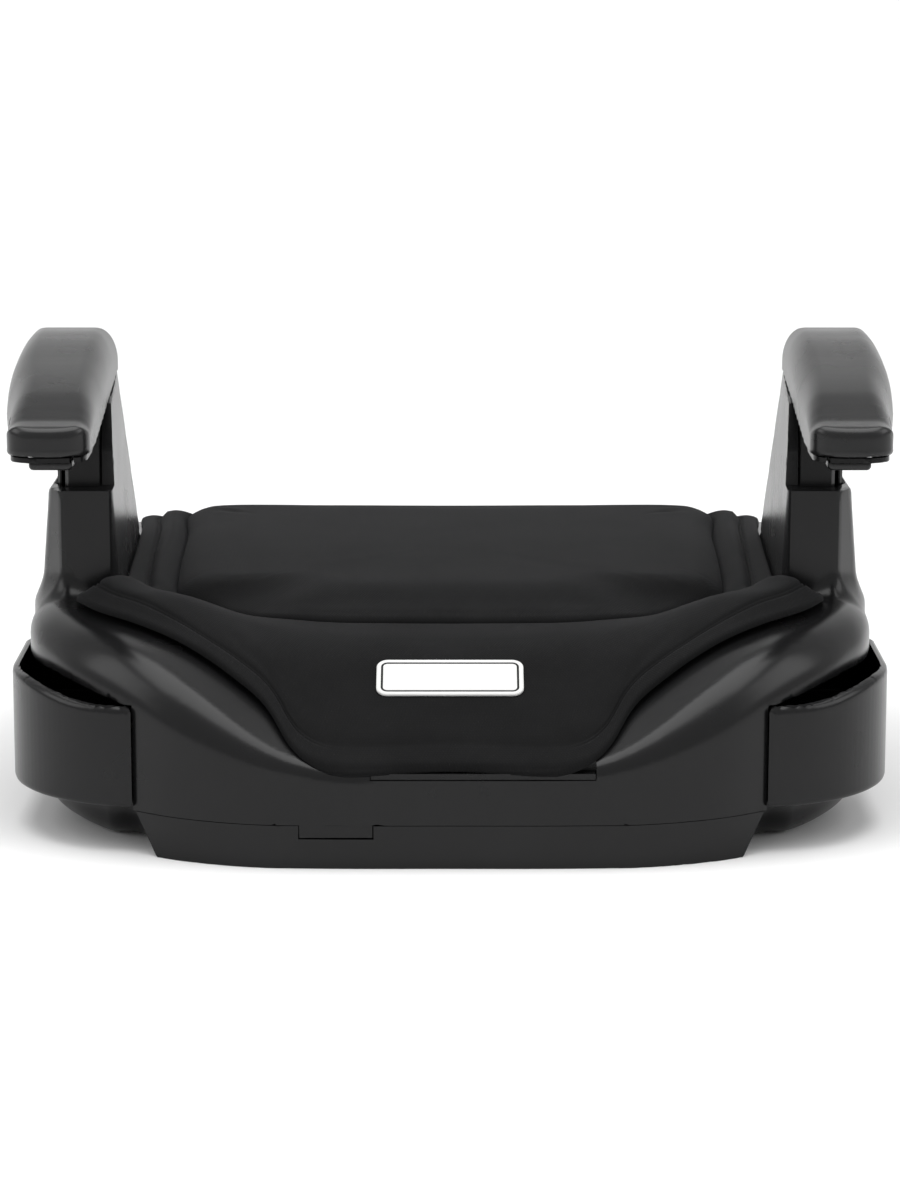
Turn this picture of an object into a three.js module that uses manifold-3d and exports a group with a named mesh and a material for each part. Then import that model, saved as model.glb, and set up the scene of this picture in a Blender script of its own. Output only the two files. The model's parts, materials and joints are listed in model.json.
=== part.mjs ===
// Backless booster seat: a hollow moulded base with a seat pad, two armrests that lift on their towers
// and two cup holders that slide out at the sides. Millimetres, +Z up, the front faces -Y, and the
// origin is at the middle of the footprint on the floor. Left is -X.
import * as THREE from "three";
import { ParametricGeometry } from "three/addons/geometries/ParametricGeometry.js";
import { mergeVertices } from "three/addons/utils/BufferGeometryUtils.js";
import Module from "manifold-3d";

const wasm = await Module();
wasm.setup();

// Driving dimensions
const WALL = 3; // moulded walls of the base
const COVER_WALL = 2.6; // walls of an armrest's cover
const GAP = 0.3; // between pieces that touch
const PARTING_Z = 19.3; // top edge of the lower tray
const RAIL_TOP_Z = 97; // shoulders beside the seat, at the towers
const SEAT_Z = 78.5; // shell under the seat cushion
const TOWER_FRONT_Y = -78;
const TOWER_REAR_Y = 112;
const TOWER_FOOT_Z = 70; // inside the base
const SHELF_Z = 147; // top of a tower's socket
const NECK_REAR_Y = -29; // where the fin ends behind an armrest's neck
const ARM_INNER_X = -160; // straight inner side of an armrest
const CUP_FLOOR_Z = 21;
const CUP_RIM_Z = 73;
const CUP_CORNER = { x: -133, y: -108, radius: 67.5 };
const CUP_REAR_Y = -45;
const CUP_INNER_X = -72;
const CUP_INNER_Y = -164;
const CUP_WELL = { x: -112, y0: -148, y1: -68 }; // room for a cup between its inner and side walls
const WELL_WALL = 2.5;
const TRIGGER_PIN = { y: -124, z: 175.5, radius: 1.5 };
const LABEL_SIZE = { width: 64, height: 22, thickness: 0.8 };

// Finishes
const SHELL_PLASTIC = { color: 0x2b2b2c, roughness: 0.38, metalness: 0 };
const ARM_PLASTIC = { color: 0x353536, roughness: 0.42, metalness: 0 };
const INNER_PLASTIC = { color: 0x3a3a3c, roughness: 0.6, metalness: 0 };
const SEAT_FABRIC = { color: 0x1f1f20, roughness: 0.95, metalness: 0 };
const STEEL = { color: 0x9a9c9e, roughness: 0.35, metalness: 1 };
const LABEL_WHITE = { color: 0xe9e9e9, roughness: 0.7, metalness: 0 };

// Plan outline of the base, from the front middle round the left side to the rear middle
const HALF_OUTLINE = [
  [0, -200], [-55, -199.8], [-87, -197.6], [-119, -187], [-141, -173], [-157, -159.5],
  [-171, -144], [-182, -126], [-190, -108], [-195, -86], [-197, -50], [-197, 20],
  [-196, 90], [-191, 140], [-178, 172], [-152, 190], [-110, 198.5], [-55, 199.8], [0, 200],
];

// Plan outlines of the seat pad and of its raised centre panel
const HALF_PAD = [
  [0, -198.6], [-56, -198.6], [-70, -192], [-82, -171], [-98, -160], [-118, -149],
  [-140, -136], [-161, -117], [-172, -97], [-171, -84], [-158, -80], [-151.6, -68],
  [-151.6, -20], [-153.6, 60], [-158, 128], [-164, 165], [-156, 188], [-80, 193.5], [0, 194],
];
const HALF_PANEL = [
  [0, -83], [-56, -81], [-95, -66], [-123, -42], [-132, -17], [-134.5, 40], [-136.4, 123],
  [-139, 168], [-133, 183], [-70, 187], [0, 187],
];

// Side profiles, as y and z
const SHELL_PROFILE = [
  [-200, 42.5], [-160, 60.5], [-137, 72], [-110, 79], [-83, 80], [-60, SEAT_Z], [180, SEAT_Z], [200, 75],
];
const RAIL_PROFILE = [
  [-200, 76], [-187, 80], [-173, 85], [-150, 91], [-120, 95], [-85, RAIL_TOP_Z], [-50, 95],
  [100, 92], [150, 90], [185, 86], [200, 82],
];
const ARM_TOP_PROFILE = [
  [-150, 180], [-147, 186], [-138, 190.5], [-110, 198.5], [-70, 207.5], [-35, 213.5],
  [-15, 214.7], [-5, 210], [0, 203], [3.4, 194.4],
];

// The value of a profile at a place along it
function along(profile, at) {
  const last = profile.length - 1;
  const next = profile.findIndex(([place]) => place >= at);
  if (next === 0) return profile[0][1];
  if (next < 0) return profile[last][1];
  const [from, low] = profile[next - 1];
  const [to, high] = profile[next];
  return THREE.MathUtils.mapLinear(at, from, to, low, high);
}

// A closed curve through a half outline and its mirror image
function closedCurve(half) {
  const left = half.map(([x, y]) => new THREE.Vector3(x, y, 0));
  const right = half.slice(1, -1).reverse().map(([x, y]) => new THREE.Vector3(-x, y, 0));
  return new THREE.CatmullRomCurve3([...left, ...right], true, "centripetal");
}

// The line where an armrest cover meets its tower's fin
const seamZ = (y) => THREE.MathUtils.mapLinear(y, -134, 2.7, 171.8, 192.5);

// Height of the shell's top surface
function shellTop(x, y) {
  const rear = THREE.MathUtils.smoothstep(y, -120, -60);
  const frontRise = THREE.MathUtils.clamp((Math.abs(x) - 50) / 91, 0, 1) ** 1.2;
  const sideRise = THREE.MathUtils.smoothstep(Math.abs(x), 125, 160);
  const rise = THREE.MathUtils.lerp(frontRise, sideRise, rear);
  return THREE.MathUtils.lerp(along(SHELL_PROFILE, y), along(RAIL_PROFILE, y), rise);
}

// A geometry as a manifold-3d solid that faces out
function solid(geometry) {
  const bare = geometry.index ? geometry : geometry.clone();
  bare.deleteAttribute("normal");
  bare.deleteAttribute("uv");
  const merged = mergeVertices(bare, 1e-4);
  const corners = [];
  for (let i = 0; i < merged.index.count; i += 3) {
    const face = [0, 1, 2].map((k) => merged.index.getX(i + k));
    if (new Set(face).size === 3) corners.push(...face);
  }
  const made = closedBody(merged.attributes.position.array, corners);
  return made.volume() < 0 ? closedBody(merged.attributes.position.array, corners.reverse()) : made;
}

function closedBody(positions, corners) {
  const vertProperties = new Float32Array(positions);
  return new wasm.Manifold(new wasm.Mesh({ numProp: 3, vertProperties, triVerts: new Uint32Array(corners) }));
}

function mirrored(shape) {
  const { vertProperties, triVerts } = shape.getMesh();
  const positions = vertProperties.map((value, i) => (i % 3 === 0 ? -value : value));
  return closedBody(positions, new Uint32Array(triVerts).reverse());
}

const join = (...shapes) => shapes.reduce((whole, shape) => whole.add(shape));
const cut = (shape, ...tools) => tools.reduce((left, tool) => left.subtract(tool), shape);

function box(x0, x1, y0, y1, z0, z1) {
  const geometry = new THREE.BoxGeometry(x1 - x0, y1 - y0, z1 - z0);
  return solid(geometry.translate((x0 + x1) / 2, (y0 + y1) / 2, (z0 + z1) / 2));
}

// A shape with straight sides, its corners rounded off by radius
function roundedShape(points, radius = 0) {
  const shape = new THREE.Shape();
  const corners = points.map(([x, y]) => new THREE.Vector2(x, y));
  if (!radius) return shape.setFromPoints(corners);
  const towards = (from, to) => to.clone().sub(from).setLength(radius).add(from);
  corners.forEach((corner, i) => {
    const start = towards(corner, corners.at(i - 1));
    const end = towards(corner, corners[(i + 1) % corners.length]);
    if (i) shape.lineTo(start.x, start.y);
    else shape.moveTo(start.x, start.y);
    shape.quadraticCurveTo(corner.x, corner.y, end.x, end.y);
  });
  shape.closePath();
  return shape;
}

function extruded(shape, length) {
  return new THREE.ExtrudeGeometry(shape, { depth: length, bevelEnabled: false, curveSegments: 3 });
}

// Prisms of an outline given as x and y, as y and z, and as x and z
const prismZ = (points, z0, z1, radius) =>
  solid(extruded(roundedShape(points, radius), z1 - z0).translate(0, 0, z0));

function prismX(points, x0, x1, radius) {
  const turn = new THREE.Matrix4().makeBasis(
    new THREE.Vector3(0, 1, 0),
    new THREE.Vector3(0, 0, 1),
    new THREE.Vector3(1, 0, 0),
  );
  return solid(extruded(roundedShape(points, radius), x1 - x0).applyMatrix4(turn).translate(x0, 0, 0));
}

const prismY = (points, y0, y1, radius) =>
  solid(extruded(roundedShape(points, radius), y1 - y0).rotateX(Math.PI / 2).translate(0, y1, 0));

function rod(radius, x, y, z0, z1, sides = 16) {
  const geometry = new THREE.CylinderGeometry(radius, radius, z1 - z0, sides);
  return solid(geometry.rotateX(Math.PI / 2).translate(x, y, (z0 + z1) / 2));
}

function rodX(radius, y, z, x0, x1, sides = 16) {
  const geometry = new THREE.CylinderGeometry(radius, radius, x1 - x0, sides);
  return solid(geometry.rotateZ(Math.PI / 2).translate((x0 + x1) / 2, y, z));
}

// A closed body swept through rings: ring(u, index) gives the point at share u of the way round
function ringed(slices, rings, ring) {
  const surface = (u, v, target) => target.copy(ring(u % 1, Math.round(v * (rings - 1))));
  return solid(new ParametricGeometry(surface, slices, rings - 1));
}

const OUTLINE = closedCurve(HALF_OUTLINE);

// A point of a closed curve, moved towards the middle by an inset
function insetPoint(curve, u, inset) {
  const point = curve.getPoint(u);
  return point.multiplyScalar(Math.max(0, 1 - inset / point.length()));
}

// Rounding of the top edge: little at the front, more at the corners, most at the sides
function edgeRadius(point) {
  const side = THREE.MathUtils.smoothstep(Math.abs(point.x), 60, 150);
  const rear = THREE.MathUtils.smoothstep(point.y, -150, -80);
  return THREE.MathUtils.lerp(3, THREE.MathUtils.lerp(11, 16, rear), side);
}

// The base's outer body, or with an inset its hollow, open towards bottomZ
function baseBody(inset, bottomZ, slices) {
  const turns = [90, 60, 30, 0];
  const insides = [0, 0.3, 0.5, 0.66, 0.78, 0.87, 0.94];
  return ringed(slices, insides.length + turns.length + 2, (u, index) => {
    const edge = OUTLINE.getPoint(u);
    const radius = edgeRadius(edge);
    const start = 1 - (inset + radius) / edge.length();
    if (index < insides.length) {
      const point = edge.clone().multiplyScalar(start * insides[index] / insides.at(-1));
      return point.setZ(shellTop(point.x, point.y) - inset);
    }
    if (index < insides.length + turns.length) {
      const turn = THREE.MathUtils.degToRad(turns[index - insides.length]);
      const point = insetPoint(OUTLINE, u, inset + radius * (1 - Math.cos(turn)) * 0.999);
      return point.setZ(shellTop(point.x, point.y) - inset - radius * (1 - Math.sin(turn)) - 0.01);
    }
    const closed = index > insides.length + turns.length;
    const point = closed ? new THREE.Vector3() : insetPoint(OUTLINE, u, inset);
    return point.setZ(bottomZ);
  });
}

// The tower's side faces lean in as they rise
const towerOuterX = (z) => THREE.MathUtils.mapLinear(z, 88, 160, -193, -186);
const towerInnerX = (z) => THREE.MathUtils.mapLinear(z, 100, 192, -156, -160);

// The space between those side faces, drawn in by an inset
function betweenFaces(inset) {
  const [low, high] = [TOWER_FOOT_Z, seamZ(TOWER_REAR_Y)];
  return prismY(
    [
      [towerOuterX(low) + inset, low], [towerOuterX(high) + inset, high],
      [towerInnerX(high) - inset, high], [towerInnerX(low) - inset, low],
    ],
    TOWER_FRONT_Y - 1,
    TOWER_REAR_Y + 1,
  );
}

// The tower and its sloping fin, drawn in by an inset to make the hollow inside
function towerBody(inset) {
  const archEnd = [NECK_REAR_Y, seamZ(NECK_REAR_Y) - GAP];
  const arch = inset ? [[-5 + inset, 153], [4, 176]] : [[-5, 153], [-14, 165.5], [NECK_REAR_Y, 174.4], archEnd];
  const side = prismX(
    [
      [TOWER_FRONT_Y + inset, TOWER_FOOT_Z], [TOWER_FRONT_Y + inset, SHELF_Z - inset],
      [-5, SHELF_Z - inset], ...arch,
      [2.7 - inset, seamZ(2.7) - GAP - 2 * inset], [99.4 - 1.5 * inset, 100.9 - inset],
      [TOWER_REAR_Y, TOWER_FOOT_Z],
    ],
    -200,
    -150,
  );
  const facet = prismZ(
    [
      [-150, TOWER_FRONT_Y - 1], [-150, TOWER_REAR_Y + 1], [-200, TOWER_REAR_Y + 1],
      [-200, -46 + inset], [-180 + inset / 2, TOWER_FRONT_Y - 1 + inset],
    ],
    TOWER_FOOT_Z,
    seamZ(TOWER_REAR_Y),
  );
  return side.intersect(betweenFaces(inset)).intersect(facet);
}

// A thin wall of the tower that stands beside an armrest's neck, on the seat's side
function neckWall() {
  const side = [
    [-61, SHELF_Z - 2], [-58, 165], [-50, seamZ(-50) - GAP], [0, seamZ(0) - GAP], [0, SHELF_Z - 2],
  ];
  return prismX(side, -163, -150).intersect(betweenFaces(0));
}

const LEG = [[-164.5, -66], [-178, -66], [-184, -57], [-184, -30], [-164.5, -30]];
const NECK = [[-163.6, -66], [-178, -66], [-184, -57], [-184, -30], [-163.6, -30]];
const BASE_SCREWS = [[-55, -165], [55, -165], [-140, 30], [140, 30], [-105, 165], [105, 165]];

function grown(points, by) {
  const xs = points.map(([x]) => x);
  const ys = points.map(([, y]) => y);
  const middle = [(Math.min(...xs) + Math.max(...xs)) / 2, (Math.min(...ys) + Math.max(...ys)) / 2];
  return points.map(([x, y]) => [x + by * Math.sign(x - middle[0]), y + by * Math.sign(y - middle[1])]);
}

// Plan outline of a cup holder, grown by a clearance
function cupOutline(clearance) {
  const { x, y, radius } = CUP_CORNER;
  const front = [];
  for (let degrees = 263; degrees > 179; degrees -= 83 / 9) {
    const turn = THREE.MathUtils.degToRad(degrees);
    front.push([x + (radius + clearance) * Math.cos(turn), y + (radius + clearance) * Math.sin(turn)]);
  }
  const rearY = CUP_REAR_Y + clearance;
  const outerX = x - radius - clearance;
  return [
    [CUP_INNER_X + clearance, CUP_INNER_Y - clearance], [front[0][0], CUP_INNER_Y - clearance], ...front,
    [outerX, rearY - 14], [outerX + 5, rearY - 4], [outerX + 16, rearY], [CUP_INNER_X + clearance, rearY],
  ];
}

// Side profile of everything under the cup holder's rim, which dips towards the front
function cupHeights(lift) {
  return [
    [-190, 0], [-190, 66 + lift], [-170, 66.5 + lift], [-150, 71 + lift], [-135, CUP_RIM_Z + lift],
    [-20, CUP_RIM_Z + lift], [-20, 0],
  ];
}

function upperShell() {
  const tower = join(towerBody(0), neckWall());
  const legRoom = prismZ(grown(LEG, 0.7), 140, 200);
  const hollow = join(baseBody(WALL, -5, 36), towerBody(WALL), mirrored(towerBody(WALL)));
  const cupRoom = prismX(cupHeights(0.6), -230, -141)
    .intersect(box(-230, -141, -190, CUP_REAR_Y + 0.6, -2, 90));
  const openings = [legRoom, cupRoom];
  const outer = join(baseBody(0, PARTING_Z + GAP, 72), tower, mirrored(tower));
  const bosses = BASE_SCREWS.map(([x, y]) => rod(5, x, y, 12.4, shellTop(x, y) - 2.4));
  const pilots = BASE_SCREWS.map(([x, y]) => rod(2.5, x, y, 0, 34));
  const tab = box(-66, -34, -200, -197, 13.8, 24);
  const body = join(cut(outer, hollow), tab, ...bosses);
  const hemNotch = box(-35, 64, -201, -192, 39.7, 50);
  return cut(body, ...openings, ...openings.map(mirrored), ...pilots, hemNotch);
}

// The lower tray's boat-shaped body, or with an inset its hollow
function trayBody(inset, topZ, slices) {
  const turns = [0, 30, 60, 90];
  return ringed(slices, turns.length + 3, (u, index) => {
    const edge = OUTLINE.getPoint(u);
    const side = THREE.MathUtils.smoothstep(Math.abs(edge.x), 110, 150);
    const radius = THREE.MathUtils.lerp(4, 18, side);
    const rim = THREE.MathUtils.lerp(3, 5, side) + inset;
    if (index === 0) return new THREE.Vector3(0, 0, topZ);
    if (index <= turns.length) {
      const turn = THREE.MathUtils.degToRad(turns[index - 1]);
      const point = insetPoint(OUTLINE, u, rim + radius * (1 - Math.cos(turn)));
      const wallZ = index === 1 ? topZ : inset + radius * (1 - Math.sin(turn));
      return point.setZ(wallZ);
    }
    if (index === turns.length + 1) return insetPoint(OUTLINE, u, rim + radius + 20).setZ(inset);
    return new THREE.Vector3(0, 0, inset);
  });
}

function outlineBand(inset, z0, z1) {
  const points = [];
  for (let i = 0; i < 72; i += 1) {
    const { x, y } = insetPoint(OUTLINE, i / 72, inset);
    points.push([x, y]);
  }
  return prismZ(points, z0, z1);
}

function lowerTray() {
  const body = cut(trayBody(0, PARTING_Z, 36), trayBody(WALL, PARTING_Z + 4, 36));
  const ends = prismY([[-130, 0], [-139.5, PARTING_Z], [139.5, PARTING_Z], [130, 0]], -210, -150);
  const panel = cut(outlineBand(0, 0, PARTING_Z), outlineBand(4.5, -1, PARTING_Z + 1)).intersect(ends);
  const tabNotch = box(-66.4, -33.6, -201, -194, 13.4, 30);
  const bosses = BASE_SCREWS.map(([x, y]) => rod(7, x, y, 1, 12));
  const holes = BASE_SCREWS.map(([x, y]) => rod(2.6, x, y, -1, 14));
  const sinks = BASE_SCREWS.map(([x, y]) => rod(4.7, x, y, -1, 5.4));
  return cut(join(body, panel, ...bosses), tabNotch, ...holes, ...sinks);
}

// A screw standing upright with its head below, as a turned profile
function screw(headRadius, headHeight, radius, length) {
  const profile = [
    [0, 0], [headRadius, 0.3], [headRadius, headHeight], [radius, headHeight],
    [radius, headHeight + length - radius], [0, headHeight + length],
  ];
  const geometry = new THREE.LatheGeometry(profile.map(([r, z]) => new THREE.Vector2(r, z)), 14);
  return solid(geometry.rotateX(Math.PI / 2));
}

function cupHolder() {
  const wall = 3.5;
  const outer = prismZ(cupOutline(0), CUP_FLOOR_Z, 90).intersect(prismX(cupHeights(0), -260, -60));
  const inner = prismZ(cupOutline(-wall), CUP_FLOOR_Z + WALL, 95);
  const lowInside = box(CUP_CORNER.x, -60, -190, -20, 50, 90);
  const { y0, y1, x } = CUP_WELL;
  const wellWalls = [
    box(x - 80, x, y0 - WELL_WALL, y0, CUP_FLOOR_Z + 1, 50),
    box(x - 80, x, y1, y1 + WELL_WALL, CUP_FLOOR_Z + 1, 50),
    box(x, x + WELL_WALL, y0 - WELL_WALL, y1 + WELL_WALL, CUP_FLOOR_Z + 1, 50),
  ];
  const well = join(...wellWalls).intersect(prismZ(cupOutline(-1), CUP_FLOOR_Z, 50));
  const keels = [-100, -60].map((y) => box(-98, -80, y - 1.6, y + 1.6, 15.6, CUP_FLOOR_Z + 1));
  return join(cut(outer, inner, lowInside), well, ...keels);
}

// The frame on the tray that a cup holder's two keels run in
function cupRail() {
  const side = [[-176, 12], [-176, 20.6], [-78, 20.6], [-78, 3.4], [-158, 3.4]];
  const bars = [-100, -60].map((y) => prismY(side, y - 6, y + 6));
  const grooves = [-100, -60].map((y) => box(-185, -70, y - 2.1, y + 2.1, 14.9, 22));
  const cross = [-152, -84].map((x) => box(x - 4, x + 4, -100, -60, 3.4, 12));
  return cut(join(...bars, ...cross), ...grooves);
}

// A leaf clip behind a cup holder that holds it shut
function cupDetent() {
  return prismY(
    [
      [-71.4, 24], [-71.4, 34], [-69.4, 37], [-68, 36.4], [-69.8, 33.6], [-69.8, 24], [-64, 5.4], [-58, 5.4],
      [-58, 3.4], [-66, 3.4],
    ],
    -86,
    -74,
  );
}

// A bent strip inside a tower, slotted for the latch's nose
function latchGuide() {
  const strip = box(-178.4, -166, -74.4, -69.9, 80, 143);
  return cut(strip, box(-175.4, -169.6, -76, -68, 84, 139));
}

// The cover's outer body, or with an inset its hollow
function armBody(inset) {
  const stations = [-150, -148.5, -145, -139, -130, -112, -92, -72, -52, -32, -16, -7, -1, 3.2];
  return ringed(16, stations.length + 2, (u, index) => {
    const ends = index === 0 || index === stations.length + 1;
    const station = stations[THREE.MathUtils.clamp(index - 1, 0, stations.length - 1)];
    const y = THREE.MathUtils.clamp(station, -150 + inset, 3.2 - inset);
    const nose = Math.max(0, (-134 - y) / 16.4);
    const narrow = (1 - nose ** 2.6) ** (1 / 2.6);
    const half = THREE.MathUtils.lerp(18.8, 23.3, THREE.MathUtils.smoothstep(y, -140, -50));
    const top = along(ARM_TOP_PROFILE, y) - inset;
    const bottom = inset ? 150 : Math.max(seamZ(y), 173 + 4 * nose ** 3);
    const turn = u * 2 * Math.PI;
    const wide = (half - inset) * Math.max(0.35, narrow) * (ends ? 0 : 1);
    const squareness = Math.sin(turn) > 0 ? 0.62 : 0.25;
    const across = Math.sign(Math.cos(turn)) * Math.abs(Math.cos(turn)) ** squareness;
    const upward = Math.sign(Math.sin(turn)) * Math.abs(Math.sin(turn)) ** 0.5;
    const middle = (top + bottom) / 2;
    const z = ends ? middle : middle + upward * (top - bottom) / 2;
    return new THREE.Vector3(ARM_INNER_X - half + wide * across, y, z);
  });
}

const COVER_SCREWS = [[-187, -104], [-166, -80]];

function armrestCover() {
  const bosses = COVER_SCREWS.map(([x, y]) => rod(3.6, x, y, seamZ(y) + 5, 220).intersect(armBody(1)));
  const pilots = COVER_SCREWS.map(([x, y]) => rod(1.9, x, y, 150, seamZ(y) + 15));
  return cut(join(cut(armBody(0), armBody(COVER_WALL)), ...bosses), ...pilots);
}

// The underside of an armrest with its leg, which runs down into the tower
function armrestFrame() {
  const plate = prismX(
    [
      [-132, seamZ(-132) + 1], [-132, seamZ(-132) + 4], [-6, seamZ(-6) + 4], [-6, seamZ(-6) + 1],
    ],
    -194.4,
    -163.4,
  );
  const leg = prismZ(LEG, 80, 187);
  const underSeam = [[-70, 100], [-70, seamZ(-70) - 0.4], [-26, seamZ(-26) - 0.4], [-26, 100]];
  const neck = prismZ(NECK, SHELF_Z + 0.4, 190).intersect(prismX(underSeam, -200, -150));
  const legHollow = prismZ([[-167, -63.4], [-181.4, -63.4], [-181.4, -32.6], [-167, -32.6]], 70, 200);
  const noseWindow = box(-176, -169, -70, -60, 83, 95);
  const triggerRoom = box(-188, -167, -150, -117, 150, 195);
  const ears = [[-190.6, -188], [-167, -164.4]].map(([x0, x1]) => box(x0, x1, -143, -118, 172.1, 182.2));
  const springSeat = box(-190.6, -164.4, -143, -132, 179.7, 182.2);
  const pinHole = rodX(TRIGGER_PIN.radius + GAP, TRIGGER_PIN.y, TRIGGER_PIN.z, -200, -150);
  const screwHoles = COVER_SCREWS.map(([x, y]) => rod(1.9, x, y, 150, 200));
  const underside = join(cut(plate, triggerRoom), ...ears, springSeat).intersect(armBody(COVER_WALL + GAP));
  return cut(join(underside, leg, neck), legHollow, noseWindow, pinHole, ...screwHoles);
}

// The squeeze lever under an armrest's tip, with the arm that pushes the latch back
function trigger() {
  const lever = prismX(
    [
      [-146, 169.6], [-144, 168], [-126, 168], [-120, 172.4], [-121.4, 178], [-122.2, 187], [-126, 187],
      [-127.6, 178], [-129, 172.6], [-146, 172],
    ],
    -186.6,
    -168.4,
  );
  const bore = rodX(TRIGGER_PIN.radius + GAP, TRIGGER_PIN.y, TRIGGER_PIN.z, -200, -150);
  const sideRoom = [[-188, -176], [-169.4, -168]].map(([x0, x1]) => box(x0, x1, -130, -118, 179.4, 190));
  return cut(lever, bore, ...sideRoom);
}

// The slide inside an armrest: a bar from the trigger and a foot with the latch's nose
function latchSlide() {
  return prismX(
    [
      [-121.7, 183], [-121.7, 187.4], [-70, 193.4], [-44, 193.4], [-44, 84.4], [-48, 84.4],
      [-48, 86.4], [-70.6, 86.4], [-71.7, 88], [-71.7, 91], [-70.6, 92.4], [-48, 92.4],
      [-48, 189.4], [-70, 189.4],
    ],
    -174.8,
    -170.2,
  );
}

// The coil spring between a trigger and the armrest above it
class Coil extends THREE.Curve {
  getPoint(share, target = new THREE.Vector3()) {
    const turn = share * 3 * 2 * Math.PI;
    return target.set(-177.5 + 3 * Math.cos(turn), -138 + 3 * Math.sin(turn), 173.2 + 5.6 * share);
  }
}

function triggerSpring() {
  const wire = new THREE.Shape().absarc(0, 0, 0.5, 0, 2 * Math.PI);
  return solid(
    new THREE.ExtrudeGeometry(wire, { steps: 36, curveSegments: 3, bevelEnabled: false, extrudePath: new Coil() }),
  );
}

// A padded layer between two heights over a plan outline
function padBody(curve, slices, bottom, top, edgeDrop) {
  const shares = [0, 0.35, 0.62, 0.82, 0.94, 1];
  return ringed(slices, 2 * shares.length, (u, index) => {
    const above = index < shares.length;
    const share = above ? shares[index] : shares[2 * shares.length - 1 - index];
    const point = curve.getPoint(u).multiplyScalar(share);
    const soft = share === 1 ? edgeDrop : 0;
    const height = above ? top(point.x, point.y) - soft : bottom(point.x, point.y) + soft * 0.2;
    return point.setZ(height);
  });
}

function padTop(x, y) {
  const rear = THREE.MathUtils.smoothstep(y, -110, -60);
  return shellTop(x, y) + THREE.MathUtils.lerp(6, 7.4, rear);
}

function seatPad() {
  const layer = padBody(closedCurve(HALF_PAD), 72, (x, y) => shellTop(x, y) - 2, padTop, 2.4);
  const beside = box(-200, towerInnerX(TOWER_FOOT_Z) + 0.5, TOWER_FRONT_Y - 0.5, TOWER_REAR_Y, TOWER_FOOT_Z, 120);
  return cut(layer, baseBody(-0.6, PARTING_Z, 72), beside, mirrored(beside));
}

const seatCushion = () => (
  padBody(closedCurve(HALF_PANEL), 40, (x, y) => padTop(x, y) + 3.2, (x, y) => padTop(x, y) + 7.6, 4)
);

const hemRetainer = () => box(-34.6, 63.6, -199, -193, 40, 42.6);

// A blank plate on the sloping front of the pad
function label() {
  const { width, height, thickness } = LABEL_SIZE;
  const [x, y] = [width / 2, height / 2];
  const geometry = extruded(roundedShape([[-x, -y], [x, -y], [x, y], [-x, y]], 5), thickness);
  const slope = Math.atan2(12.3, 23);
  return solid(geometry.rotateX(slope).translate(0, -148.4, 73.9));
}

function mesh(name, shape, finish) {
  const { vertProperties, triVerts } = shape.getMesh();
  const geometry = new THREE.BufferGeometry();
  geometry.setAttribute("position", new THREE.BufferAttribute(new Float32Array(vertProperties), 3));
  geometry.setIndex(new THREE.BufferAttribute(new Uint32Array(triVerts), 1));
  geometry.computeVertexNormals();
  const made = new THREE.Mesh(geometry, new THREE.MeshStandardMaterial(finish));
  made.name = name;
  return made;
}

// The pieces of one side, made for the left
function sidePieces(side) {
  const group = new THREE.Group();
  const pieces = [
    ["cup_holder", cupHolder(), SHELL_PLASTIC],
    ["cup_rail", cupRail(), INNER_PLASTIC],
    ["cup_detent", cupDetent(), STEEL],
    ["latch_guide", latchGuide(), STEEL],
    ["armrest_cover", armrestCover(), ARM_PLASTIC],
    ["armrest_frame", armrestFrame(), INNER_PLASTIC],
    ["trigger", trigger(), ARM_PLASTIC],
    ["trigger_pin", rodX(TRIGGER_PIN.radius, TRIGGER_PIN.y, TRIGGER_PIN.z, -190.4, -164.6), STEEL],
    ["trigger_spring", triggerSpring(), STEEL],
    ["latch_slide", latchSlide(), INNER_PLASTIC],
  ];
  pieces.forEach(([name, shape, finish]) => group.add(mesh(`${name}_${side}`, shape, finish)));
  COVER_SCREWS.forEach(([x, y], i) => {
    const made = mesh(`cover_screw_${side}_${i + 1}`, screw(3.2, 2, 1.5, 14), STEEL);
    made.position.set(x, y, seamZ(y) - 1.6);
    group.add(made);
  });
  return group;
}

const booster = new THREE.Group();
booster.add(mesh("upper_shell", upperShell(), SHELL_PLASTIC));
booster.add(mesh("lower_tray", lowerTray(), SHELL_PLASTIC));
booster.add(mesh("seat_pad", seatPad(), SEAT_FABRIC));
booster.add(mesh("seat_cushion", seatCushion(), SEAT_FABRIC));
booster.add(mesh("hem_retainer", hemRetainer(), SHELL_PLASTIC));
booster.add(mesh("label", label(), LABEL_WHITE));
BASE_SCREWS.forEach(([x, y], i) => {
  const made = mesh(`base_screw_${i + 1}`, screw(4.2, 2.6, 2.1, 24), STEEL);
  made.position.set(x, y, 2.4);
  booster.add(made);
});
booster.add(sidePieces("left"));
const rightSide = sidePieces("right");
rightSide.scale.x = -1;
booster.add(rightSide);

export default booster;
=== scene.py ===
import json
import math

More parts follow.
